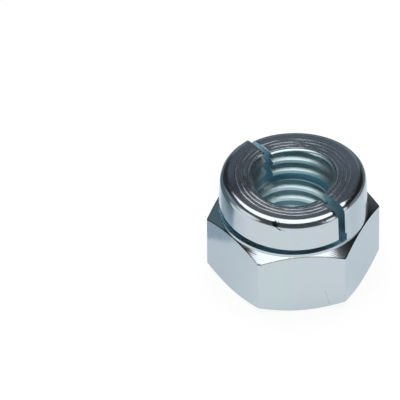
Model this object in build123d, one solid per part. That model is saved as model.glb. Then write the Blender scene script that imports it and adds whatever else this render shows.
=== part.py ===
# All-metal lock nut, M12 x 1.75, right hand, one piece of zinc-plated steel.
# Lengths are in millimetres and angles in degrees. The origin is the centre of the bearing face,
# +Z is the axis of the thread and points up, and two flats of the hexagon face -Y and +Y.
# Two level saw cuts and two upright slots free two curved arms from the collar. Each arm stays
# joined at one end, its root, and is bent down towards the hexagon and in towards the bore.
import os
from math import ceil, cos, floor, radians, tan

from build123d import *

# Hexagon
sides = 6
across_flats = 19.0
edge_length = 7.05  # upright edge at each corner, between the two cones
corner_round = 0.3
cone_slope = 30.0  # both cones, measured from the bearing face
bearing_diameter = 18.0  # where the lower cone starts

# Thread
major_diameter = 12.0
pitch = 1.75
thread_angle = 60.0
thread_rise = 1.607  # middle of the lowest whole groove above the bearing face, over +X
tap_clearance = 0.25  # from the bore in to the core that the tap's teeth stand on

# Mouths of the bore
lower_mouth_width = 1.25  # both mouths are cones, and these are their widths seen along the axis
lower_mouth_slope = 30.0
upper_mouth_width = 0.4
upper_mouth_slope = 45.0

# Collar
collar_inset = 0.1  # foot of its wall inside the flats of the hexagon
collar_taper = 2.5  # lean of its wall
rim_round = 1.1
lip_height = 0.4  # wall between the upper cone and the level cuts
arm_height = 4.13

# Saw cuts
cut_height = 1.15  # level cuts
slot_width = 1.0  # upright slots, both sawn in one pass across the collar
slot_azimuth = -57.0  # way that the pass points at the first slot, anticlockwise from +X
slot_offset = 0.27  # middle of the pass from the axis, anticlockwise at the first slot
arm_angle = 130.0  # from slot_azimuth back to the root of the arm
cut_overrun = 0.25  # how far a level cut runs on past its slot

# Set of the arms. Each bends next to its root and is level from there to its free end.
bend_angle = 100.0
arm_drop = 0.55
arm_pinch = 0.12
bend_steps = 13  # spans between the sections that an arm is drawn through
turn_steps = 24  # the same for a turn of the thread

# Worked out from the sizes above
half_turn = 180
full_turn = 360
corner_radius = across_flats / 2 / cos(radians(half_turn / sides))
bearing_radius = bearing_diameter / 2
collar_foot_radius = across_flats / 2 - collar_inset
major_radius = major_diameter / 2
bottom_flat = pitch / 8  # flats of the thread, at the bottom of its groove and on its crest
crest_flat = pitch / 4
flank_slope = tan(radians(thread_angle / 2))
minor_radius = major_radius - (pitch - crest_flat - bottom_flat) / 2 / flank_slope
tap_radius = minor_radius - tap_clearance
lower_mouth_depth = lower_mouth_width * tan(radians(lower_mouth_slope))
upper_mouth_depth = upper_mouth_width * tan(radians(upper_mouth_slope))
cone_rise = tan(radians(cone_slope))
edge_bottom = (corner_radius - bearing_radius) * cone_rise
edge_middle = edge_bottom + edge_length / 2
cones_meet_radius = corner_radius + edge_length / 2 / cone_rise
cone_top = edge_middle + (cones_meet_radius - collar_foot_radius) * cone_rise
cut_floor = cone_top + lip_height
cut_roof = cut_floor + cut_height
total_height = cut_roof + arm_height
root_azimuth = slot_azimuth - arm_angle
reach = 2 * corner_radius  # past every side of the nut
join_tolerance = 0.001  # the grooves of the arms and the body meet to within this


def wall_radius(height):
    """Radius of the collar's leaning wall at height."""
    return collar_foot_radius - (height - cone_top) * tan(radians(collar_taper))


def half_section(foot):
    """Face on the XZ plane from the top of the collar down to the points of foot."""
    rim = (wall_radius(total_height), total_height)
    mouth_edge = (minor_radius + upper_mouth_width, total_height)
    mouth_foot = (minor_radius, total_height - upper_mouth_depth)
    section = make_face(Polyline(mouth_edge, rim, *foot, mouth_foot, close=True))
    section = fillet(section.vertices().sort_by_distance(rim)[0], rim_round)
    return Plane.XZ * section


def uncut_nut():
    """Hexagon and collar before sawing."""
    foot = [
        (collar_foot_radius, cone_top),
        (cones_meet_radius, edge_middle),
        (bearing_radius, 0),
        (minor_radius + lower_mouth_width, 0),
        (minor_radius, lower_mouth_depth),
    ]
    turned = revolve(half_section(foot), Axis.Z)
    hexagon = RegularPolygon(corner_radius, sides)
    hexagon = fillet(hexagon.vertices(), corner_round)
    return turned & extrude(hexagon, total_height)


def clockwise_of(azimuth, offset, bottom, top):
    """Block on the clockwise side of the radial line at azimuth, moved anticlockwise by offset."""
    block = Box(
        2 * reach,
        reach + offset,
        top - bottom,
        align=(Align.CENTER, Align.MAX, Align.MIN),
    )
    return Rot(0, 0, azimuth) * Pos(0, offset, bottom) * block


def sawn_away(slot_side, bottom, top):
    """Sector from the first arm's root to the anticlockwise side of its slot."""
    up_to_slot = clockwise_of(slot_azimuth, slot_side, bottom, top)
    from_root = clockwise_of(root_azimuth + half_turn, 0, bottom, top)
    return up_to_slot & from_root


def tap_tooth(height):
    """Face on the XZ plane of the tooth that cuts the groove with its middle at height."""
    half_base = (pitch - crest_flat) / 2 + tap_clearance * flank_slope
    half_tip = bottom_flat / 2
    tooth = Polyline(
        (tap_radius, -half_base),
        (major_radius, -half_tip),
        (major_radius, half_tip),
        (tap_radius, half_base),
        close=True,
    )
    return Plane.XZ * Pos(0, height) * make_face(tooth)


def tap_turn(height):
    """One turn of the tap's tooth, which climbs anticlockwise from height over the first root."""
    teeth = []
    for step in range(turn_steps + 1):
        angle = full_turn * step / turn_steps
        tooth = tap_tooth(height + pitch * angle / full_turn)
        teeth.append(Rot(0, 0, root_azimuth + angle) * tooth)
    return loft(teeth)


def groove_heights(azimuth, bottom, top):
    """Heights over azimuth, from bottom to top, of the middles of the thread's grooves."""
    rise = thread_rise + pitch * azimuth / full_turn
    lowest = ceil((bottom - rise) / pitch)
    highest = floor((top - rise) / pitch)
    return [rise + pitch * count for count in range(lowest, highest + 1)]


def along_arm(section, climb):
    """Loft of a section along the first arm as it is bent. The section climbs by climb in a full turn."""
    sections = []
    for step in range(bend_steps + 1):
        angle = arm_angle * step / bend_steps
        bent = min(angle / bend_angle, 1)
        eased = bent * bent * (3 - 2 * bent)  # starts and ends with no kink
        moved = Pos(-arm_pinch * eased, 0, climb * angle / full_turn - arm_drop * eased)
        sections.append(Rot(0, 0, root_azimuth + angle) * moved * section)
    return loft(sections)


def bent_arm(turn, slot_side):
    """Arm in the first arm's place, tapped to be turned by turn, and cut off at its slot."""
    arm = along_arm(half_section([(wall_radius(cut_roof), cut_roof), (minor_radius, cut_roof)]), 0)
    for height in groove_heights(root_azimuth + turn, cut_roof - pitch, total_height + pitch):
        arm -= along_arm(tap_tooth(height), pitch)
    return arm & clockwise_of(slot_azimuth, slot_side, 0, total_height)


def lock_nut():
    """The finished nut."""
    nut = uncut_nut()
    nut -= [tap_turn(height) for height in groove_heights(root_azimuth, -2 * pitch, total_height + pitch)]
    arms = []
    for turn, offset in ((0, slot_offset), (half_turn, -slot_offset)):
        slot_side = offset + slot_width / 2
        nut -= Rot(0, 0, turn) * sawn_away(slot_side, cut_floor, total_height)
        nut -= Rot(0, 0, turn) * sawn_away(slot_side + cut_overrun, cut_floor, cut_roof)
        arms.append(Rot(0, 0, turn) * bent_arm(turn, offset - slot_width / 2))
    return nut.fuse(*arms, tol=join_tolerance)


nut = lock_nut()
nut.label = "lock_nut"
os.makedirs("parts", exist_ok=True)
export_step(nut, "parts/lock_nut.step")
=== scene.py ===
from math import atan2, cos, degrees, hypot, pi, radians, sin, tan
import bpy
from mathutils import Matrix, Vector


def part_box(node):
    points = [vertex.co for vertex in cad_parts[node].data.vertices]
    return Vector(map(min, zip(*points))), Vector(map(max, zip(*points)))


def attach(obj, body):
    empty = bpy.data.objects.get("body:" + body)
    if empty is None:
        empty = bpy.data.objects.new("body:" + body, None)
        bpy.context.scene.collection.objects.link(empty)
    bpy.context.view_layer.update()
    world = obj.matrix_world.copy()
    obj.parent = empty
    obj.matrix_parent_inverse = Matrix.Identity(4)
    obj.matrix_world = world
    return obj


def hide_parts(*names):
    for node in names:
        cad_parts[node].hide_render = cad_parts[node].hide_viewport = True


bl_info = {
    "name": "All-metal lock nut",
    "version": (1, 0, 0),
    "blender": (4, 5, 0),
    "location": "3D View > Sidebar > Lock nut",
    "description": "Models a zinc-plated M12 lock nut with a slotted collar, and a plain stage for it",
    "category": "Mesh",
}

from types import SimpleNamespace

import bpy
from bpy.props import FloatProperty, FloatVectorProperty, PointerProperty
from mathutils import Matrix, Vector

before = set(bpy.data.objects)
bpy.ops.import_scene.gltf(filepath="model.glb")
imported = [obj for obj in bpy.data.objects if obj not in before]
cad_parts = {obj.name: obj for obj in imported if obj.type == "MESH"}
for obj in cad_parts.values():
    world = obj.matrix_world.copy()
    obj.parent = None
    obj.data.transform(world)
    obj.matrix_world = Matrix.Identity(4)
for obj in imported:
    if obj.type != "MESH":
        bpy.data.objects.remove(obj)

NODE = "lock_nut"
MM = 0.001
IMAGE_WIDTH = 400  # pixels, and the image is square
LOW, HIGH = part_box(NODE)
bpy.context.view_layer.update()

# The nut is modelled in millimetres, and brought to metres when its mesh is done.
SIDES = 6
SHARP_ANGLE = radians(25)  # an edge that turns by more is sharp
WELD_DISTANCE = 0.001  # points that lie closer are one
OVERSHOOT = 1  # from an end of the nut to the end of a tool that runs past it

# Places of the nut's finishes in its list of materials
SMOOTH, TURNED, CONE, UPRIGHT_SLOT, LEVEL_CUT, THREADED = range(6)

# Patches of the room that the metal mirrors, in degrees to the right of the camera, degrees down from
# overhead, and degrees from the middle to the edge, with their colours. Later ones lie over earlier ones.
ROOM = (
    (180, 67, 20, (0.26, 0.31, 0.36)),  # grey wall behind the nut
    (180, 94, 16, (0.08, 0.085, 0.09)),  # its dark foot
    (126, 50, 24, (0.02, 0.022, 0.025)),  # dark corner behind it to the right
    (-140, 54, 22, (0.03, 0.034, 0.04)),  # dark corner behind it to the left
    (-97, 74, 22, (0.26, 0.31, 0.35)),  # wall to the left
    (102, 84, 18, (0.28, 0.3, 0.32)),  # wall to the right
    (-66, 70, 17, (1.1, 1.12, 1.14)),  # window to the left of the camera
    (61, 68, 14, (1.1, 1.12, 1.14)),  # window to the right of the camera
)

# Small marks of handling: both ends in millimetres, half the width, and the colour.
MARKS = (
    # The dent in the rim is not modelled: its first two rows paint it dark, as the shade in its hollow.
    ((-3.48, -8.1, 14.0), (-3.3, -8.35, 13.7), 0.3, (0.045, 0.05, 0.055)),  # dent in the rim
    ((-3.15, -8.0, 14.14), (-3.05, -8.4, 13.65), 0.2, (0.06, 0.065, 0.07)),  # its right side
    ((-2.8, -8.05, 14.15), (-2.8, -8.35, 13.85), 0.12, (0.08, 0.085, 0.09)),  # a nick beside it
    ((-3.25, -8.4, 13.65), (-2.62, -8.7, 13.22), 0.15, (0.09, 0.1, 0.11)),  # scratch down from it
    ((-2.62, -8.7, 13.22), (-2.1, -8.83, 13.28), 0.09, (0.3, 0.32, 0.32)),  # end of the scratch
    ((2.95, -8.33, 13.8), (3.15, -8.28, 13.8), 0.14, (0.1, 0.11, 0.12)),  # smudge on the rim
    ((-5.6, -9.24, 8.3), (-5.3, -9.37, 8.3), 0.2, (0.1, 0.11, 0.11)),  # nick in a corner
    ((-5.3, -9.37, 8.3), (-5.0, -9.47, 8.33), 0.1, (0.15, 0.16, 0.16)),  # end of the nick
    ((-1.62, -9.33, 9.05), (-1.56, -9.33, 9.05), 0.07, (0.1, 0.1, 0.1)),  # dot on the cone
    ((-6.98, -6.68, 8.94), (-5.62, -8.0, 8.88), 0.1, (0.12, 0.13, 0.14)),  # streak on the cone
    ((2.89, -9.5, 3.36), (3.53, -9.5, 0.76), 0.12, (0.5, 0.53, 0.47)),  # straw streak on a flat
)
# Painted highlight: a white, matt glint on the burr under the rear slot.
GLINT = ((-3.05, 4.73, 8.57), (-2.13, 5.22, 8.52), 0.2)  # bright burr under the rear slot


# Settings


def length(label, description, millimetres):
    """A length property, whose default is given in millimetres."""
    return FloatProperty(
        name=label, description=description, default=millimetres * MM, unit="LENGTH", precision=5
    )


def angle(label, description, in_degrees):
    """An angle property, whose default is given in degrees."""
    return FloatProperty(name=label, description=description, default=radians(in_degrees), subtype="ANGLE")


def colour(label, description, default):
    """A linear colour property."""
    return FloatVectorProperty(
        name=label, description=description, default=default, subtype="COLOR", size=3, min=0, max=1
    )


def number(label, description, default):
    """A plain number property."""
    return FloatProperty(name=label, description=description, default=default, precision=4)


class LOCKNUT_PG_sizes(bpy.types.PropertyGroup):
    """Lengths of the nut."""

    across_flats: length("Across flats", "Width of the hexagon", (HIGH.y - LOW.y) / MM)
    height: length("Height", "From the bearing face to the top of the collar", HIGH.z / MM)
    edge_length: length("Corner edge", "Upright edge at each corner, between the two cones", 7.05)
    corner_round: length("Corner round", "Radius of the upright edges", 0.3)
    bearing_diameter: length("Bearing diameter", "Where the lower cone starts", 18.0)
    lower_mouth_width: length("Lower mouth", "Width of the cone at the lower mouth", 1.25)
    upper_mouth_round: length("Upper mouth", "Radius of the round at the upper mouth", 0.5)
    collar_inset: length("Collar inset", "Foot of the collar inside the flats", 0.1)
    rim_round: length("Rim round", "Radius at the top of the collar", 1.1)
    lip_height: length("Lip height", "Wall between the upper cone and the level cuts", 0.4)
    cut_height: length("Cut height", "Height of the level cuts", 1.15)
    slot_width: length("Slot width", "Width of the upright slots", 1.0)
    slot_offset: length("Slot offset", "Middle of the saw pass from the axis", 0.27)
    cut_overrun: length("Cut overrun", "How far a level cut runs on past its slot", 0.25)
    arm_drop: length("Arm drop", "How far the arms are bent down", 0.55)
    arm_pinch: length("Arm pinch", "How far the arms are bent in", 0.12)
    edge_break: length("Edge break", "Width that is taken off the sharp edges of the collar", 0.07)
    cone_edge_break: length("Cone edge break", "Width that is taken off the edges of the hexagon", 0.035)
    rubbed_width: length("Rubbed width", "Width of the dull line along the edges of the hexagon", 0.16)
    major_diameter: length("Major diameter", "Across the bottoms of the thread's groove", 12.0)
    pitch: length("Pitch", "Rise of one turn of thread", 1.75)
    thread_rise: length(
        "Thread rise", "Middle of the lowest whole groove above the bearing face, over +X", 1.3
    )
    tap_clearance: length("Tap clearance", "From the bore in to the core of the tap", 0.25)


class LOCKNUT_PG_angles(bpy.types.PropertyGroup):
    """Angles of the nut. Azimuths run anticlockwise from +X, seen from above."""

    cone_slope: angle("Cone slope", "Both cones of the hexagon", 30)
    lower_mouth_slope: angle("Lower mouth slope", "Cone at the lower mouth", 30)
    collar_taper: angle("Collar taper", "Lean of the collar's wall", 2.5)
    slot_azimuth: angle("Slot azimuth", "Way that the saw pass points at the first slot", -57)
    arm_angle: angle("Arm angle", "From the root of an arm to its slot", 130)
    bend_angle: angle("Bend angle", "From the root to where the arm is level again", 100)
    thread_angle: angle("Thread angle", "Between the flanks of the thread", 60)


class LOCKNUT_PG_finish(bpy.types.PropertyGroup):
    """Colours and textures of the plating, with painted light and shade in some of its colours."""

    zinc: colour("Zinc", "Blue-white zinc plating", (0.53, 0.625, 0.65))
    lilac: colour("Lilac", "Faint lilac bloom on the plating", (0.545, 0.58, 0.655))
    straw: colour("Straw", "Faint straw bloom on the plating", (0.55, 0.61, 0.57))
    # Painted light: the turned face is darker than the zinc as painted shade, and its rings are lighter as
    # painted highlights. The rings' relief itself is real.
    turned: colour("Turned face", "Turned top of the collar, between its rings", (0.3, 0.32, 0.35))
    ring: colour("Ring", "Light rings on the turned face", (0.66, 0.71, 0.76))
    # Painted shade: the slots' colour is darker and bluer than the zinc, for the light lost between their
    # walls.
    slot: colour("Slot", "Blue-green plating in the upright slots", (0.44, 0.65, 0.73))
    # Painted light: the level cuts' colour is lighter and bluer than the zinc, for light bounced into
    # them.
    cut: colour("Cut", "Blue-green plating in the level cuts", (0.68, 0.9, 0.98))
    # Painted light: the bore's colour is lighter and bluer than the zinc, for light bounced between the
    # thread's walls.
    thread: colour("Thread", "Blue-green plating in the bore", (0.58, 0.74, 0.77))
    roughness: number("Roughness", "Of the plating on the smooth faces", 0.13)
    turned_roughness: number("Turned roughness", "Of the turned face, between its rings", 0.15)
    ring_roughness: number("Ring roughness", "Of the light rings on the turned face", 0.34)
    turned_grain: number("Turned grain", "How much more the turned face blurs across its rings", 0.8)
    sawn_roughness: number("Sawn roughness", "Of the saw cuts", 0.3)
    thread_roughness: number("Thread roughness", "Of the bore and its thread", 0.3)
    ring_spacing: length("Ring spacing", "Feed of the lathe tool across the top of the collar", 0.53)
    ring_height: length("Ring height", "Height of the lathe tool's ridges", 0.014)
    ring_reach: length("Ring reach", "Radius at which the lathe tool's marks end", 7.45)
    edge: colour("Edge", "Rubbed edges of the hexagon", (0.17, 0.165, 0.15))


class LOCKNUT_PG_stage(bpy.types.PropertyGroup):
    """Camera and light."""

    azimuth: angle("Camera azimuth", "Way to the camera, anticlockwise from +X", -96.8)
    elevation: angle("Camera elevation", "Way to the camera, above the horizon", 41.46)
    roll: angle("Camera roll", "Turn of the camera about its own line of sight", -0.5)
    distance: length("Camera distance", "From the point that the camera is placed by", 1140)
    target_height: length("Target height", "Of the point that the camera is placed by", 7.22)
    scale: number("Scale", "Pixels for each millimetre at the target", 7.951)
    target_x: number("Target x", "Where the target shows, in pixels from the left", 293.3)
    target_y: number("Target y", "Where the target shows, in pixels from the top", 218.0)
    softbox: number("Softbox", "Brightness of the round softbox, where 1 is white", 1.8)
    softbox_height: length("Softbox height", "Distance of the softbox from the nut", 300)
    softbox_radius: angle("Softbox radius", "Half of the angle that the softbox fills", 29.3)
    softbox_back: angle("Softbox back", "Lean of the softbox away from the camera", 6.5)
    room: colour("Room", "Dark room that the metal mirrors", (0.085, 0.09, 0.095))
    horizon: colour("Horizon", "Foot of the room, just over the floor", (0.2, 0.21, 0.22))
    # Painted shade on the floor, which shows in reflections alone.
    floor_shade: colour(
        "Floor shade", "Floor beside and behind the nut, as the metal mirrors it", (0.76, 0.81, 0.86)
    )
    floor_back_shade: colour(
        "Floor behind", "Floor far behind the nut, as the metal mirrors it", (0.09, 0.1, 0.11)
    )
    card: colour("Card", "Blue-grey card to the left of the nut", (0.12, 0.175, 0.2))
    card_foot: colour("Card foot", "The same card at the floor", (0.42, 0.51, 0.59))
    card_distance: length("Card distance", "From the axis to the card", 16.5)
    card_front: length("Card front", "Edge of the card towards the camera", 4.4)
    card_back: length("Card back", "Edge of the card away from the camera", -14)
    card_height: length("Card height", "Of the card above the floor", 16)


def in_millimetres(scene):
    """The nut's lengths in millimetres, the unit that it is modelled in, with its angles in radians."""
    sizes = scene.lock_nut_sizes
    angles = scene.lock_nut_angles
    nut = SimpleNamespace()
    for name in LOCKNUT_PG_sizes.__annotations__:
        setattr(nut, name, getattr(sizes, name) / MM)
    for name in LOCKNUT_PG_angles.__annotations__:
        setattr(nut, name, getattr(angles, name))
    work_out(nut)
    return nut


def work_out(nut):
    """Adds the lengths that follow from the nut's sizes."""
    nut.saw_reach = 4 * nut.across_flats  # past every side of the nut
    nut.corner_radius = nut.across_flats / 2 / cos(pi / SIDES)
    nut.bearing_radius = nut.bearing_diameter / 2
    nut.foot_radius = nut.across_flats / 2 - nut.collar_inset
    nut.major_radius = nut.major_diameter / 2
    nut.bottom_flat = nut.pitch / 8  # flats of the thread, at the bottom of its groove and on its crest
    nut.crest_flat = nut.pitch / 4
    nut.flank_slope = tan(nut.thread_angle / 2)
    groove_depth = (nut.pitch - nut.crest_flat - nut.bottom_flat) / 2 / nut.flank_slope
    nut.minor_radius = nut.major_radius - groove_depth
    rise = tan(nut.cone_slope)
    edge_bottom = (nut.corner_radius - nut.bearing_radius) * rise
    nut.edge_middle = edge_bottom + nut.edge_length / 2
    nut.cones_meet = nut.corner_radius + nut.edge_length / 2 / rise
    nut.cone_top = nut.edge_middle + (nut.cones_meet - nut.foot_radius) * rise
    nut.cut_floor = nut.cone_top + nut.lip_height
    nut.cut_roof = nut.cut_floor + nut.cut_height
    nut.root_azimuth = nut.slot_azimuth - nut.arm_angle


# Modelling helpers


def deselect():
    """Leaves edit mode and selects nothing."""
    if bpy.context.object and bpy.context.object.mode != "OBJECT":
        bpy.ops.object.mode_set(mode="OBJECT")
    bpy.ops.object.select_all(action="DESELECT")


def edit(piece, mode="VERT"):
    """Opens a piece alone in edit mode with nothing of it selected."""
    deselect()
    bpy.context.view_layer.objects.active = piece
    piece.select_set(True)
    bpy.ops.object.mode_set(mode="EDIT")
    bpy.ops.mesh.select_mode(type=mode)
    bpy.ops.mesh.select_all(action="DESELECT")


def draw_outline(name, points):
    """A new mesh of one line through the points, left in edit mode with its last point selected."""
    deselect()
    bpy.ops.mesh.primitive_plane_add(size=1, location=(0, 0, 0))
    piece = bpy.context.object
    piece.name = name
    edit(piece)
    bpy.ops.mesh.select_all(action="SELECT")
    bpy.ops.mesh.merge(type="CENTER")
    bpy.ops.transform.translate(value=points[0])
    for before, after in zip(points, points[1:]):
        bpy.ops.mesh.extrude_vertices_move(TRANSFORM_OT_translate={"value": after - before})
    return piece


def apply_modifier(piece, kind, **settings):
    """Adds a modifier to a piece and applies it."""
    deselect()
    bpy.context.view_layer.objects.active = piece
    piece.select_set(True)
    modifier = piece.modifiers.new(kind.lower(), kind)
    for name, value in settings.items():
        setattr(modifier, name, value)
    bpy.ops.object.modifier_apply(modifier=modifier.name)


def carve(piece, tool, operation="DIFFERENCE"):
    """Cuts a piece with a closed tool, and clears the tool away."""
    apply_modifier(piece, "BOOLEAN", object=tool, operation=operation, solver="EXACT")
    bpy.data.objects.remove(tool)
    check_closed(piece, operation)


def check_closed(piece, step):
    """Raises an error if the piece's mesh has an open or tangled edge after a step."""
    edit(piece, "EDGE")
    bpy.ops.mesh.select_non_manifold()
    bpy.ops.object.mode_set(mode="OBJECT")
    loose = sum(edge.select for edge in piece.data.edges)
    if loose or not piece.data.polygons:
        raise RuntimeError(f"{piece.name} has {loose} open edges after {step}")


# Nut


def arc(centre, radius, start, end, segments):
    """Points of an arc on the plane of radius and height."""
    turns = [start + (end - start) * step / segments for step in range(segments + 1)]
    return [(centre[0] + radius * cos(turn), centre[1] + radius * sin(turn)) for turn in turns]


def section_of(nut):
    """Points of the turned section, as radius and height, from the lower mouth round to the bore."""
    rim_height = nut.height - nut.rim_round
    wall_at_rim = nut.foot_radius - (rim_height - nut.cone_top) * tan(nut.collar_taper)
    rim_centre = (wall_at_rim - nut.rim_round / cos(nut.collar_taper), rim_height)
    mouth_centre = (nut.minor_radius + nut.upper_mouth_round, nut.height - nut.upper_mouth_round)
    return [
        (nut.minor_radius, nut.lower_mouth_width * tan(nut.lower_mouth_slope)),
        (nut.minor_radius + nut.lower_mouth_width, 0),
        (nut.bearing_radius, 0),
        (nut.cones_meet, nut.edge_middle),
        (nut.foot_radius, nut.cone_top),
        *arc(rim_centre, nut.rim_round, nut.collar_taper, pi / 2, segments=10),
        *arc(mouth_centre, nut.upper_mouth_round, pi / 2, pi, segments=5),
    ]


def turn_blank(nut):
    """The turned blank. Its facets are spaced so that no radial edge lies close to a saw cut."""
    lead = radians(2)  # half of the facet over each root
    before_slot = radians(5)
    in_slot = radians(1.5)
    after_slot = radians(11)
    arm_facets = 41
    block_facets = 12
    half = [
        (nut.arm_angle - before_slot - lead, arm_facets),
        (before_slot + in_slot, 1),
        (after_slot - in_slot, 1),
        (pi - nut.arm_angle - after_slot - lead, block_facets),
        (2 * lead, 1),
    ]
    start = nut.root_azimuth + lead
    points = [
        Vector((radius * cos(start), radius * sin(start), height)) for radius, height in section_of(nut)
    ]
    blank = draw_outline("lock_nut_blank", points)
    bpy.ops.mesh.select_all(action="SELECT")
    for turned, steps in half * 2:
        bpy.ops.mesh.spin(steps=steps, angle=-turned, center=(0, 0, 0), axis=(0, 0, 1))
    return blank


def close_blank(blank):
    """Joins the ends of the turned shell, and adds the bore."""
    bpy.ops.mesh.select_all(action="SELECT")
    bpy.ops.mesh.remove_doubles(threshold=WELD_DISTANCE)
    bpy.ops.mesh.select_all(action="DESELECT")
    bpy.ops.mesh.select_non_manifold()
    bpy.ops.mesh.bridge_edge_loops()
    bpy.ops.mesh.select_all(action="SELECT")
    bpy.ops.mesh.normals_make_consistent(inside=False)
    bpy.ops.object.mode_set(mode="OBJECT")
    check_closed(blank, "turning")


def hexagon_bar(nut):
    """Hexagon bar with rounded corners, two of them on the X axis."""
    deselect()
    bpy.ops.mesh.primitive_cylinder_add(
        vertices=SIDES,
        radius=nut.corner_radius,
        depth=2 * nut.height,
        location=(0, 0, nut.height / 2),
        rotation=(0, 0, pi / SIDES),
    )
    bar = bpy.context.object
    edit(bar, "EDGE")
    bpy.ops.object.mode_set(mode="OBJECT")
    for edge in bar.data.edges:
        first, second = (bar.data.vertices[index].co for index in edge.vertices)
        edge.select = abs(first.z - second.z) > nut.height
    bpy.ops.object.mode_set(mode="EDIT")
    bpy.ops.mesh.bevel(offset=nut.corner_round * tan(pi / SIDES), segments=4, affect="EDGES")
    bpy.ops.object.mode_set(mode="OBJECT")
    return bar


def level_cutter(nut, half_turn):
    """Wedge of a block that saws the level cut under one arm."""
    deselect()
    bpy.ops.mesh.primitive_cube_add(size=1, location=(0, 0, nut.cut_floor + nut.cut_height / 2))
    cutter = bpy.context.object
    edit(cutter)
    bpy.ops.mesh.select_all(action="SELECT")
    bpy.ops.transform.resize(value=(nut.saw_reach, nut.saw_reach, nut.cut_height))
    slot_turn = nut.slot_azimuth + half_turn
    side = Vector((-sin(slot_turn), cos(slot_turn), 0))
    past_slot = nut.slot_width / 2 + nut.cut_overrun + nut.slot_offset * cos(half_turn)
    bpy.ops.mesh.bisect(plane_co=side * past_slot, plane_no=side, use_fill=True, clear_outer=True)
    bpy.ops.mesh.select_all(action="SELECT")
    root_turn = nut.root_azimuth + half_turn
    side = Vector((-sin(root_turn), cos(root_turn), 0))
    bpy.ops.mesh.bisect(plane_co=(0, 0, 0), plane_no=side, use_fill=True, clear_inner=True)
    bpy.ops.object.mode_set(mode="OBJECT")
    return cutter


def slot_cutter(nut):
    """Saw blade whose one pass cuts both upright slots, down into the level cuts."""
    bottom = nut.cut_floor + nut.cut_height / 2
    top = nut.height + OVERSHOOT
    side = Vector((-sin(nut.slot_azimuth), cos(nut.slot_azimuth), 0))
    middle = side * nut.slot_offset + Vector((0, 0, (bottom + top) / 2))
    deselect()
    bpy.ops.mesh.primitive_cube_add(size=1, location=middle, rotation=(0, 0, nut.slot_azimuth))
    cutter = bpy.context.object
    edit(cutter)
    bpy.ops.mesh.select_all(action="SELECT")
    blade = (nut.saw_reach, nut.slot_width, top - bottom)
    bpy.ops.transform.resize(value=blade, orient_type="LOCAL")
    bpy.ops.object.mode_set(mode="OBJECT")
    return cutter


def break_edges(nut, piece):
    """Takes the sharpness off the edges, less on the hexagon, and leaves the foot of the collar sharp."""
    margin = 0.01
    collar = (nut.cone_top + margin, nut.height + OVERSHOOT, nut.edge_break)
    hexagon = (-OVERSHOOT, nut.cone_top - margin, nut.cone_edge_break)
    for low, high, width in (collar, hexagon):
        edit(piece, "EDGE")
        bpy.ops.mesh.edges_select_sharp(sharpness=SHARP_ANGLE)
        bpy.ops.object.mode_set(mode="OBJECT")
        for edge in piece.data.edges:
            heights = [piece.data.vertices[index].co.z for index in edge.vertices]
            edge.select = edge.select and low < min(heights) and max(heights) < high
        bpy.ops.object.mode_set(mode="EDIT")
        bpy.ops.mesh.bevel(offset=width, segments=2, affect="EDGES", clamp_overlap=True)
        bpy.ops.object.mode_set(mode="OBJECT")
    check_closed(piece, "breaking its edges")


def thread_tap(nut):
    """Tap whose helical ridge cuts the thread, longer than the nut at both ends."""
    steps = 96
    turns = 12
    turns_below = 3  # of the lowest whole groove
    inner = nut.minor_radius - nut.tap_clearance
    half_tip = nut.bottom_flat / 2
    half_base = (nut.pitch - nut.crest_flat) / 2 + nut.tap_clearance * nut.flank_slope
    start = nut.thread_rise - turns_below * nut.pitch
    section = [
        (inner, -nut.pitch / 2),
        (inner, -half_base),
        (nut.major_radius, -half_tip),
        (nut.major_radius, half_tip),
        (inner, half_base),
        (inner, nut.pitch / 2),
    ]
    tap = draw_outline("tap", [Vector((radius, 0, start + height)) for radius, height in section])
    bpy.ops.object.mode_set(mode="OBJECT")
    apply_modifier(
        tap, "SCREW", steps=steps, render_steps=steps, screw_offset=nut.pitch, iterations=turns
    )
    edit(tap)
    bpy.ops.mesh.select_all(action="SELECT")
    bpy.ops.mesh.remove_doubles(threshold=WELD_DISTANCE)
    for height, side in ((-OVERSHOOT, -1), (nut.height + OVERSHOOT, 1)):
        bpy.ops.mesh.select_all(action="SELECT")
        bpy.ops.mesh.bisect(
            plane_co=(0, 0, height), plane_no=(0, 0, side), use_fill=True, clear_outer=True
        )
    bpy.ops.mesh.select_all(action="SELECT")
    bpy.ops.mesh.normals_make_consistent(inside=False)
    check_closed(tap, "screwing")
    return tap


def set_arms(nut, piece):
    """Bends both arms down and in, from nothing at the root to all of it past the bend."""
    middle_of_cut = nut.cut_floor + nut.cut_height / 2
    for vertex in piece.data.vertices:
        place = vertex.co
        from_root = (atan2(place.y, place.x) - nut.root_azimuth) % pi
        if place.z > middle_of_cut and from_root < nut.arm_angle:
            bent = min(from_root / nut.bend_angle, 1)
            eased = bent * bent * (3 - 2 * bent)  # starts and ends with no kink
            inward = 1 - nut.arm_pinch * eased / hypot(place.x, place.y)
            vertex.co = (place.x * inward, place.y * inward, place.z - nut.arm_drop * eased)


def finish_mesh(piece):
    """Brings a piece to metres and shades it."""
    deselect()
    bpy.context.view_layer.objects.active = piece
    piece.select_set(True)
    piece.scale = (MM, MM, MM)
    bpy.ops.object.transform_apply(location=True, rotation=True, scale=True)
    bpy.ops.object.shade_smooth_by_angle(angle=SHARP_ANGLE)
    apply_modifier(piece, "WEIGHTED_NORMAL", keep_sharp=True)


def outward_of(place, normal):
    """How far a face looks away from the axis, from one, straight out, to minus one, straight in."""
    return (normal.x * place.x + normal.y * place.y) / hypot(place.x, place.y)


def on_cone(nut, place, normal):
    """Whether a face with its middle at a place, in millimetres, lies on a cone of the hexagon."""
    slope_margin = 0.01
    least_outward = 0.4
    sloped = abs(abs(normal.z) - cos(nut.cone_slope)) < slope_margin
    return sloped and outward_of(place, normal) > least_outward and place.z < nut.cone_top


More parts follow.
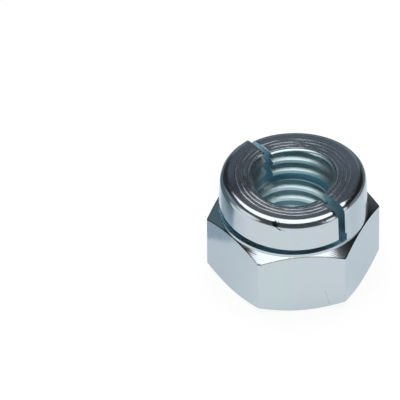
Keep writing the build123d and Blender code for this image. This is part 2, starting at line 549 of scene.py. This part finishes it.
def shade_cones(nut, piece):
    """Shades both cones of the hexagon as true cones, not by their facets."""
    mesh = piece.data
    normals = [Vector(corner.vector) for corner in mesh.corner_normals]
    for face in mesh.polygons:
        if not on_cone(nut, face.center / MM, face.normal):
            continue
        upward = cos(nut.cone_slope) if face.normal.z > 0 else -cos(nut.cone_slope)
        for corner in face.loop_indices:
            place = mesh.vertices[mesh.loops[corner].vertex_index].co
            level = Vector((place.x, place.y, 0)).normalized() * sin(nut.cone_slope)
            normals[corner] = level + Vector((0, 0, upward))
    mesh.normals_split_custom_set(normals)


# Materials


def add_node(tree, kind, inputs=None, **settings):
    """A new node with its settings, and its inputs given as values or as the sockets that feed them."""
    node = tree.nodes.new(kind)
    for name, value in settings.items():
        setattr(node, name, value)
    for name, value in (inputs or {}).items():
        if isinstance(value, bpy.types.NodeSocket):
            tree.links.new(value, node.inputs[name])
        else:
            node.inputs[name].default_value = value
    return node


def new_material(name):
    """An empty material and its node tree."""
    material = bpy.data.materials.new(name)
    material.use_nodes = True
    material.node_tree.nodes.clear()
    return material, material.node_tree


def give_surface(tree, shader):
    """Makes a shader the surface of a material."""
    add_node(tree, "ShaderNodeOutputMaterial", {"Surface": shader})


def opaque(colour_value):
    """A colour with the alpha that a socket wants."""
    return (*colour_value, 1)


def object_place(tree):
    """Place on an object, in its own metres."""
    return add_node(tree, "ShaderNodeTexCoord").outputs["Object"]


def calculate(tree, operation, *values, **settings):
    """Number that follows from numbers."""
    inputs = dict(enumerate(values))
    return add_node(tree, "ShaderNodeMath", inputs, operation=operation, **settings).outputs[0]


def combine(tree, operation, *vectors):
    """Vector that follows from vectors."""
    inputs = dict(enumerate(vectors))
    return add_node(tree, "ShaderNodeVectorMath", inputs, operation=operation).outputs["Vector"]


def measure(tree, operation, *vectors):
    """Number that follows from vectors."""
    inputs = dict(enumerate(vectors))
    return add_node(tree, "ShaderNodeVectorMath", inputs, operation=operation).outputs["Value"]


def scaled(tree, vector, factor):
    """Vector times a number."""
    inputs = {0: vector, "Scale": factor}
    return add_node(tree, "ShaderNodeVectorMath", inputs, operation="SCALE").outputs["Vector"]


def times(tree, first, second):
    """Product of two numbers."""
    return calculate(tree, "MULTIPLY", first, second)


def ramp(tree, value, start, end, low=0, high=1, kind="LINEAR"):
    """Runs from low to high as a value goes from start to end, and no further."""
    inputs = {"Value": value, "From Min": start, "From Max": end, "To Min": low, "To Max": high}
    return add_node(tree, "ShaderNodeMapRange", inputs, interpolation_type=kind).outputs["Result"]


def noise(tree, place, clouds, detail=2, low=0.35, high=0.65):
    """Cloudy pattern that runs from nothing to one, with about so many clouds along a metre."""
    cloud = add_node(tree, "ShaderNodeTexNoise", {"Vector": place, "Scale": clouds, "Detail": detail})
    return ramp(tree, cloud.outputs["Fac"], low, high)


def blend(tree, amount, first, second):
    """Mix of two colours."""
    inputs = {"Factor": amount, 6: first, 7: second}
    return add_node(tree, "ShaderNodeMix", inputs, data_type="RGBA").outputs[2]


def plated(tree, place, finish):
    """Colour of the plating, zinc with faint lilac and straw blooms."""
    lilac_share = 0.6
    straw_share = 0.5
    drawn_out = (1, 1, 0.35)  # the blooms are longer along the axis
    drawn = combine(tree, "MULTIPLY", place, drawn_out)
    lilac = times(tree, noise(tree, drawn, clouds=230), lilac_share)
    straw = times(tree, noise(tree, drawn, clouds=480, low=0.52, high=0.72), straw_share)
    tinted = blend(tree, lilac, opaque(finish.zinc), opaque(finish.lilac))
    return blend(tree, straw, tinted, opaque(finish.straw))


def metal(tree, base, roughness, normal, **more):
    """Metal surface of a material. More inputs of the shader are given by name."""
    inputs = {"Base Color": base, "Metallic": 1, "Roughness": roughness, "Normal": normal, **more}
    give_surface(tree, add_node(tree, "ShaderNodeBsdfPrincipled", inputs).outputs["BSDF"])


def bump(tree, height, distance, below=None):
    """Normal of a surface that stands up by distance, in metres, where height is one."""
    inputs = {"Height": height, "Distance": distance}
    if below:
        inputs["Normal"] = below
    return add_node(tree, "ShaderNodeBump", inputs).outputs["Normal"]


def from_axis(tree, place):
    """Level way from the nut's axis to a place."""
    return combine(tree, "MULTIPLY", place, (1, 1, 0))


def turning_lines(tree, radius, spacing):
    """Fine rings round the axis that rise from nothing to one."""
    wave = calculate(tree, "SINE", times(tree, radius, 2 * pi / spacing))
    return ramp(tree, wave, -1, 1, kind="SMOOTHSTEP")


def from_line(tree, place, start, end):
    """Distance of a place from the line between two points."""
    line = end - start
    from_start = combine(tree, "SUBTRACT", place, start)
    dot = measure(tree, "DOT_PRODUCT", from_start, line)
    share = calculate(tree, "DIVIDE", dot, line.length_squared, use_clamp=True)
    aside = combine(tree, "SUBTRACT", from_start, scaled(tree, line, share))
    return measure(tree, "LENGTH", aside)


def marked(tree, place, colour_value):
    """Colour with the small marks of handling over it."""
    starts = 1.4  # shares of half a mark's width, where it starts and where it is whole
    whole = 0.7
    in_mm = scaled(tree, place, 1 / MM)
    ragged = noise(tree, place, clouds=2500, detail=3, low=0.2, high=0.8)
    for start, end, half_width, mark_colour in MARKS:
        distance = from_line(tree, in_mm, Vector(start), Vector(end))
        frayed = calculate(tree, "MULTIPLY_ADD", ragged, half_width, distance)
        inside = ramp(tree, frayed, starts * half_width, whole * half_width)
        colour_value = blend(tree, inside, colour_value, opaque(mark_colour))
    return colour_value


def smooth_plating(finish):
    """Blue-white zinc on the drawn flats and the turned wall."""
    smoothest = 0.8  # shares of the plating's roughness
    roughest = 1.35
    material, tree = new_material("zinc_plating")
    place = object_place(tree)
    grain = noise(tree, place, clouds=2600, detail=3)
    waves = noise(tree, place, clouds=260)
    roughness = ramp(tree, grain, 0, 1, finish.roughness * smoothest, finish.roughness * roughest)
    base = marked(tree, place, plated(tree, place, finish))
    metal(tree, base, roughness, bump(tree, waves, distance=0.012 * MM))
    return material


def feed_marks(tree, radius, spacing, drop):
    """Lathe marks. Each climbs away from the axis, and falls within drop, a share of its width."""
    share = calculate(tree, "FRACT", calculate(tree, "DIVIDE", radius, spacing))
    climb = calculate(tree, "DIVIDE", share, 1 - drop)
    fall = calculate(tree, "DIVIDE", calculate(tree, "SUBTRACT", 1, share), drop)
    return calculate(tree, "MINIMUM", climb, fall)


def along_rings(tree, outward, radius):
    """Place in which a pattern runs along the rings of the turned face."""
    middle_radius = 7 * MM
    squeeze = 8  # how much narrower the pattern is across the rings
    round_axis = scaled(tree, combine(tree, "NORMALIZE", outward), middle_radius)
    across_rings = times(tree, radius, squeeze)
    lifted = add_node(tree, "ShaderNodeCombineXYZ", {"Z": across_rings}).outputs[0]
    return combine(tree, "ADD", round_axis, lifted)


def turned_plating(finish):
    """Zinc over the rings that the lathe tool left on the top of the collar, with painted shade between
    them and painted highlights on them.
    """
    wander_width = 0.12 * MM
    fading_width = 0.2 * MM  # over which the rings end
    ring_drop = 0.2  # shares of a mark's width in which it falls
    score_drop = 0.3
    fine_light = 0.6
    material, tree = new_material("zinc_on_turned_face")
    place = object_place(tree)
    outward = from_axis(tree, place)
    radius = measure(tree, "LENGTH", outward)
    along = along_rings(tree, outward, radius)
    wander = times(tree, noise(tree, place, clouds=300, low=0, high=1), wander_width)
    radius = calculate(tree, "ADD", radius, wander)
    reached = ramp(tree, radius, finish.ring_reach + fading_width, finish.ring_reach)
    patchy = times(tree, noise(tree, along, clouds=330, detail=4, low=0.28, high=0.5), reached)
    worn = times(tree, noise(tree, along, clouds=900, detail=4, low=0.35, high=0.6), reached)
    grit = noise(tree, place, clouds=2600, detail=3)
    marks = times(tree, feed_marks(tree, radius, finish.ring_spacing, ring_drop), patchy)
    scores = times(tree, feed_marks(tree, radius, finish.ring_spacing / 2, score_drop), worn)
    crest = ramp(tree, marks, 0.6, 0.95)
    fine = ramp(tree, scores, 0.55, 0.9, high=fine_light)
    # Painted highlight: the crests of the rings and scores take the lighter ring colour.
    light = calculate(tree, "MAXIMUM", crest, fine)
    colour_value = blend(tree, light, opaque(finish.turned), opaque(finish.ring))
    roughness = ramp(tree, light, 0, 1, finish.turned_roughness, finish.ring_roughness)
    scored = bump(tree, scores, finish.ring_height / 3)
    ringed = bump(tree, marks, finish.ring_height, below=scored)
    gritty = bump(tree, grit, distance=0.003 * MM, below=ringed)
    metal(tree, colour_value, roughness, gritty, Tangent=outward, Anisotropic=finish.turned_grain)
    return material


def cone_plating(nut, finish):
    """Zinc over the fine turning of the hexagon's upper cone."""
    line_spacing = 0.21 * MM
    smoother = 0.9  # share of the plating's roughness
    material, tree = new_material("zinc_on_cone")
    place = object_place(tree)
    lines = turning_lines(tree, measure(tree, "LENGTH", from_axis(tree, place)), line_spacing)
    streaks = times(tree, lines, noise(tree, place, clouds=500))
    colour_value = marked(tree, place, plated(tree, place, finish))
    colour_value = blend(tree, rubbed_edge(tree, nut, place), colour_value, opaque(finish.edge))
    metal(tree, colour_value, finish.roughness * smoother, bump(tree, streaks, distance=0.0022 * MM))
    return material


def rubbed_edge(tree, nut, place):
    """One along the edges between the cone and the flats, and nothing away from them."""
    nearest = 0
    for side in range(SIDES // 2):
        turn = (2 * side + 1) * pi / SIDES
        along = measure(tree, "DOT_PRODUCT", place, (cos(turn), sin(turn), 0))
        nearest = calculate(tree, "MAXIMUM", calculate(tree, "ABSOLUTE", along), nearest)
    flat = nut.across_flats / 2 * MM
    width = nut.rubbed_width * MM
    line = ramp(tree, nearest, flat - width, flat - width / 2)
    return times(tree, line, noise(tree, place, clouds=1900, detail=3, low=0.15, high=0.45))


def sawn_plating(finish, name, colour_value):
    """Zinc over the marks of the saw."""
    mottling = 0.3
    material, tree = new_material(name)
    marks = noise(tree, object_place(tree), clouds=1500, detail=3)
    mottled = blend(tree, times(tree, marks, mottling), opaque(colour_value), opaque(finish.zinc))
    metal(tree, mottled, finish.sawn_roughness, bump(tree, marks, distance=0.008 * MM))
    return material


def thread_plating(finish):
    """Duller zinc of the tapped bore, lighter and blue-green as painted light, with a burr's glint painted
    in white.
    """
    zinc_share = 0.5
    fading = 1.3  # share of half the burr's width, where it starts
    material, tree = new_material("zinc_on_thread")
    place = object_place(tree)
    torn = noise(tree, place, clouds=900, detail=3)
    cloudy = times(tree, noise(tree, place, clouds=260), zinc_share)
    # Painted light: the bore's blue-green tint.
    tinted = blend(tree, cloudy, opaque(finish.thread), opaque(finish.zinc))
    start, end, half_width = GLINT
    distance = from_line(tree, scaled(tree, place, 1 / MM), Vector(start), Vector(end))
    # Painted highlight: white and not metal along the glint.
    glint = ramp(tree, distance, fading * half_width, half_width)
    tinted = blend(tree, glint, tinted, opaque((1, 1, 1)))
    dull = calculate(tree, "SUBTRACT", 1, glint)
    metal(tree, tinted, finish.thread_roughness, bump(tree, torn, distance=0.004 * MM), Metallic=dull)
    return material


def paint(piece, materials, finish_of):
    """Gives each face the material whose number finish_of finds from its place and normal."""
    piece.data.materials.clear()
    for material in materials:
        piece.data.materials.append(material)
    for face in piece.data.polygons:
        face.material_index = finish_of(face.center / MM, face.normal)


def finish_of_face(nut):
    """Function that gives the finish of a face from its place, in millimetres, and its normal."""
    level = 0.99
    nearly_level = 0.97
    nearly_upright = 0.3
    sideways = 0.3
    inward = -0.25
    cut_margin = 0.05
    bore_margin = 0.1
    cut_bottom = nut.cut_floor - cut_margin
    cut_top = nut.cut_roof + cut_margin
    bore_reach = nut.major_radius + bore_margin

    def finish_of(place, normal):
        outward = outward_of(place, normal)
        if normal.z > level and place.z > nut.cut_roof + nut.cut_height:
            return TURNED
        if normal.z > 0 and on_cone(nut, place, normal):
            return CONE
        if cut_bottom < place.z < cut_top and abs(normal.z) > nearly_level:
            return LEVEL_CUT
        if place.z > cut_bottom and abs(outward) < sideways and abs(normal.z) < nearly_upright:
            return UPRIGHT_SLOT
        if outward < inward and hypot(place.x, place.y) < bore_reach:
            return THREADED
        return SMOOTH

    return finish_of


# Stage


def seen_ray(tree):
    """One for a ray that comes from the camera, a mirror or glass, and nothing for other light."""
    path = add_node(tree, "ShaderNodeLightPath").outputs
    mirrored = calculate(tree, "MAXIMUM", path["Is Glossy Ray"], path["Is Transmission Ray"])
    return calculate(tree, "MAXIMUM", path["Is Camera Ray"], mirrored)


def across(tree, place, way, start, end):
    """Runs from nothing to one as a place goes along a way from start to end."""
    return ramp(tree, measure(tree, "DOT_PRODUCT", place, way), start, end, kind="SMOOTHSTEP")


def shine(tree, tone, strength=1):
    """Shader that gives off a tone."""
    return add_node(tree, "ShaderNodeEmission", {"Color": tone, "Strength": strength}).outputs[0]


def matt(tree, grey):
    """Shader of a matt grey."""
    return add_node(tree, "ShaderNodeBsdfDiffuse", {"Color": (grey, grey, grey, 1)}).outputs[0]


def either(tree, amount, first, second):
    """Mix of two shaders."""
    return add_node(tree, "ShaderNodeMixShader", {0: amount, 1: first, 2: second}).outputs[0]


def floor_paint(stage):
    """White floor that keeps a faint shadow, with painted shade that the metal mirrors beside the nut and
    far behind it.
    """
    material, tree = new_material("white_floor")
    place = object_place(tree)
    front = directions(stage)[0]
    beside = across(tree, place, front, 14 * MM, 2 * MM)
    behind = across(tree, place, front, -24 * MM, -44 * MM)
    mirrored = add_node(tree, "ShaderNodeLightPath").outputs["Is Glossy Ray"]
    shaded = blend(tree, behind, opaque(stage.floor_shade), opaque(stage.floor_back_shade))
    # Painted shade, seen in reflections alone.
    tone = blend(tree, times(tree, beside, mirrored), opaque((1, 1, 1)), shaded)
    white = shine(tree, tone, strength=0.88)
    seen = add_node(tree, "ShaderNodeAddShader", {0: matt(tree, grey=0.15), 1: white}).outputs[0]
    give_surface(tree, either(tree, seen_ray(tree), matt(tree, grey=0.8), seen))
    return material


def card_paint(stage):
    """Tone of the left card, lighter at its foot and fading out at its front edge."""
    fading_width = 2 * MM
    material, tree = new_material("blue_grey_card")
    place = object_place(tree)
    front = directions(stage)[0]
    height = across(tree, place, (0, 0, 1), 3 * MM, 7.5 * MM)
    tone = blend(tree, height, opaque(stage.card_foot), opaque(stage.card))
    clear = add_node(tree, "ShaderNodeBsdfTransparent").outputs[0]
    faded = across(tree, place, front, stage.card_front - fading_width, stage.card_front)
    give_surface(tree, either(tree, faded, shine(tree, tone), clear))
    return material


def patch(tree, way, middle, radius, edge, tone, behind):
    """Round patch of a tone with a soft edge, over what lies behind it."""
    facing = across(tree, way, middle, cos(radius + edge), cos(radius - edge))
    return blend(tree, facing, behind, opaque(tone))


def toward(stage, to_right, from_overhead):
    """Way to a point of the room, given in degrees to the right of the camera and down from overhead."""
    front, right = directions(stage)
    level = front * cos(radians(to_right)) + right * sin(radians(to_right))
    return level * sin(radians(from_overhead)) + Vector((0, 0, cos(radians(from_overhead))))


def to_softbox(stage):
    """Way to the middle of the softbox."""
    return toward(stage, 180, degrees(stage.softbox_back))


def room_paint(stage):
    """Dark room with its windows and the softbox, as the metal mirrors them."""
    horizon_top = radians(14)
    horizon_foot = radians(2)
    softbox_edge = radians(1.8)
    material, tree = new_material("dark_room")
    way = combine(tree, "NORMALIZE", object_place(tree))
    low = across(tree, way, (0, 0, 1), sin(horizon_top), sin(horizon_foot))
    tone = blend(tree, low, opaque(stage.room), opaque(stage.horizon))
    for to_right, from_overhead, radius, colour_value in ROOM:
        middle = toward(stage, to_right, from_overhead)
        edge = radians(radius / 3)  # a third of the patch's own radius
        tone = patch(tree, way, middle, radians(radius), edge, colour_value, tone)
    white = [stage.softbox] * 3
    tone = patch(tree, way, to_softbox(stage), stage.softbox_radius, softbox_edge, white, tone)
    give_surface(tree, shine(tree, tone))
    return material


def only_mirrored(thing):
    """Lets a thing show in reflections alone."""
    thing.visible_camera = False
    thing.visible_diffuse = False
    thing.visible_transmission = False
    thing.visible_volume_scatter = False
    thing.visible_shadow = False


def make_floor(stage):
    """Large white floor under the nut."""
    deselect()
    bpy.ops.mesh.primitive_plane_add(size=8)
    floor = bpy.context.object
    floor.name = "floor"
    floor.data.materials.append(floor_paint(stage))


def make_dome(stage):
    """Dome down to just over the floor, that the metal mirrors as the room."""
    foot = 12 * MM
    deselect()
    bpy.ops.mesh.primitive_uv_sphere_add(segments=64, ring_count=32, radius=0.6)
    dome = bpy.context.object
    dome.name = "room"
    edit(dome)
    bpy.ops.mesh.select_all(action="SELECT")
    bpy.ops.mesh.bisect(plane_co=(0, 0, foot), plane_no=(0, 0, 1), clear_inner=True)
    bpy.ops.object.mode_set(mode="OBJECT")
    dome.data.materials.append(room_paint(stage))
    only_mirrored(dome)


def directions(stage):
    """Level ways to the camera's front and right, seen from the nut."""
    front = Vector((cos(stage.azimuth), sin(stage.azimuth), 0))
    right = Vector((-sin(stage.azimuth), cos(stage.azimuth), 0))
    return front, right


def make_card(stage):
    """Blue-grey card standing to the left of the nut, for its left side to mirror."""
    front, right = directions(stage)
    middle = front * (stage.card_front + stage.card_back) / 2 - right * stage.card_distance
    deselect()
    bpy.ops.mesh.primitive_plane_add(
        size=1,
        location=middle + Vector((0, 0, stage.card_height / 2)),
        rotation=(pi / 2, 0, atan2(front.y, front.x)),
    )
    card = bpy.context.object
    card.name = "left_card"
    card.scale = (stage.card_front - stage.card_back, stage.card_height, 1)
    bpy.ops.object.transform_apply(location=True, rotation=True, scale=True)
    card.data.materials.append(card_paint(stage))
    only_mirrored(card)


def make_softbox(stage):
    """Round lamp where the room's softbox is, for the light that the metal doesn't mirror."""
    overhead = to_softbox(stage)
    data = bpy.data.lights.new("softbox", "AREA")
    data.shape = "DISK"
    data.size = 2 * stage.softbox_height * tan(stage.softbox_radius)
    disk_area = pi * data.size**2 / 4
    data.energy = stage.softbox * pi * disk_area  # as bright as the softbox that is mirrored
    lamp = bpy.data.objects.new("softbox", data)
    bpy.context.scene.collection.objects.link(lamp)
    lamp.visible_camera = False
    lamp.visible_glossy = False
    lamp.location = overhead * stage.softbox_height
    lamp.rotation_euler = overhead.to_track_quat("Z", "Y").to_euler()


def make_world():
    """White to the camera and in mirrors, and a plain even light otherwise."""
    world = bpy.data.worlds.new("studio")
    world.use_nodes = True
    tree = world.node_tree
    tree.nodes.clear()
    light = add_node(tree, "ShaderNodeBackground", {"Color": (1, 1, 1, 1), "Strength": 0.5})
    white = add_node(tree, "ShaderNodeBackground", {"Color": (1, 1, 1, 1), "Strength": 1})
    seen = either(tree, seen_ray(tree), light.outputs[0], white.outputs[0])
    add_node(tree, "ShaderNodeOutputWorld", {"Surface": seen})
    bpy.context.scene.world = world


def make_camera(stage):
    """Camera that shows the target at its pixel."""
    turn = stage.azimuth
    rise = stage.elevation
    back = Vector((cos(rise) * cos(turn), cos(rise) * sin(turn), sin(rise)))
    right = Vector((-sin(turn), cos(turn), 0))
    up = back.cross(right)
    target = Vector((0, 0, stage.target_height))
    place = target + back * stage.distance
    aside = stage.target_x - IMAGE_WIDTH / 2
    down = stage.target_y - IMAGE_WIDTH / 2
    level_aside = aside * cos(stage.roll) + down * sin(stage.roll)
    level_down = down * cos(stage.roll) - aside * sin(stage.roll)
    pixel = MM / stage.scale
    look = target - right * level_aside * pixel + up * level_down * pixel
    back = (place - look).normalized()
    right = Vector((0, 0, 1)).cross(back).normalized()
    up = back.cross(right)
    data = bpy.data.cameras.new("camera")
    data.lens = data.sensor_width * stage.distance * stage.scale / MM / IMAGE_WIDTH
    camera = bpy.data.objects.new("camera", data)
    bpy.context.scene.collection.objects.link(camera)
    facing = Matrix((right, up, back)).transposed().to_4x4()
    camera.matrix_world = Matrix.Translation(place) @ facing @ Matrix.Rotation(stage.roll, 4, "Z")
    bpy.context.scene.camera = camera


# Operators and panel


class LOCKNUT_OT_nut(bpy.types.Operator):
    """Turn, saw, tap and bend the nut, and plate it"""

    bl_idname = "lock_nut.make_nut"
    bl_label = "Make the nut"

    def execute(self, context):
        nut = in_millimetres(context.scene)
        piece = turn_blank(nut)
        close_blank(piece)
        carve(piece, hexagon_bar(nut), "INTERSECT")
        carve(piece, level_cutter(nut, 0))
        carve(piece, level_cutter(nut, pi))
        carve(piece, slot_cutter(nut))
        break_edges(nut, piece)
        carve(piece, thread_tap(nut))
        set_arms(nut, piece)
        finish_mesh(piece)
        shade_cones(nut, piece)
        piece.name = "slotted_lock_nut"
        finish = context.scene.lock_nut_finish
        materials = [
            smooth_plating(finish),
            turned_plating(finish),
            cone_plating(nut, finish),
            # The slot colour carries painted shade.
            sawn_plating(finish, "zinc_in_slot", finish.slot),
            # The cut colour carries painted light.
            sawn_plating(finish, "zinc_in_level_cut", finish.cut),
            thread_plating(finish),
        ]
        paint(piece, materials, finish_of_face(nut))
        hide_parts(NODE)
        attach(piece, "root")
        return {"FINISHED"}


class LOCKNUT_OT_stage(bpy.types.Operator):
    """Lay the floor, build the room with its card, hang the lamp, and place the camera"""

    bl_idname = "lock_nut.make_stage"
    bl_label = "Make the stage"

    def execute(self, context):
        stage = context.scene.lock_nut_stage
        make_world()
        make_floor(stage)
        make_dome(stage)
        make_card(stage)
        make_softbox(stage)
        make_camera(stage)
        context.scene.view_settings.view_transform = "Standard"
        return {"FINISHED"}


class LOCKNUT_PT_panel(bpy.types.Panel):
    """Sizes, finish and steps of the lock nut"""

    bl_label = "Lock nut"
    bl_space_type = "VIEW_3D"
    bl_region_type = "UI"
    bl_category = "Lock nut"

    def draw(self, context):
        for group in (
            context.scene.lock_nut_sizes,
            context.scene.lock_nut_angles,
            context.scene.lock_nut_finish,
            context.scene.lock_nut_stage,
        ):
            box = self.layout.box()
            for name in group.__annotations__:
                box.prop(group, name)
        self.layout.operator(LOCKNUT_OT_nut.bl_idname)
        self.layout.operator(LOCKNUT_OT_stage.bl_idname)


CLASSES = (
    LOCKNUT_PG_sizes,
    LOCKNUT_PG_angles,
    LOCKNUT_PG_finish,
    LOCKNUT_PG_stage,
    LOCKNUT_OT_nut,
    LOCKNUT_OT_stage,
    LOCKNUT_PT_panel,
)


def register():
    """Registers the classes and gives each scene the settings."""
    for kind in CLASSES:
        bpy.utils.register_class(kind)
    bpy.types.Scene.lock_nut_sizes = PointerProperty(type=LOCKNUT_PG_sizes)
    bpy.types.Scene.lock_nut_angles = PointerProperty(type=LOCKNUT_PG_angles)
    bpy.types.Scene.lock_nut_finish = PointerProperty(type=LOCKNUT_PG_finish)
    bpy.types.Scene.lock_nut_stage = PointerProperty(type=LOCKNUT_PG_stage)


def unregister():
    """Takes the settings and the classes away again."""
    del bpy.types.Scene.lock_nut_stage
    del bpy.types.Scene.lock_nut_finish
    del bpy.types.Scene.lock_nut_angles
    del bpy.types.Scene.lock_nut_sizes
    for kind in reversed(CLASSES):
        bpy.utils.unregister_class(kind)


def main():
    """Makes the whole scene."""
    register()
    bpy.ops.lock_nut.make_nut()
    bpy.ops.lock_nut.make_stage()


if __name__ == "__main__":
    main()
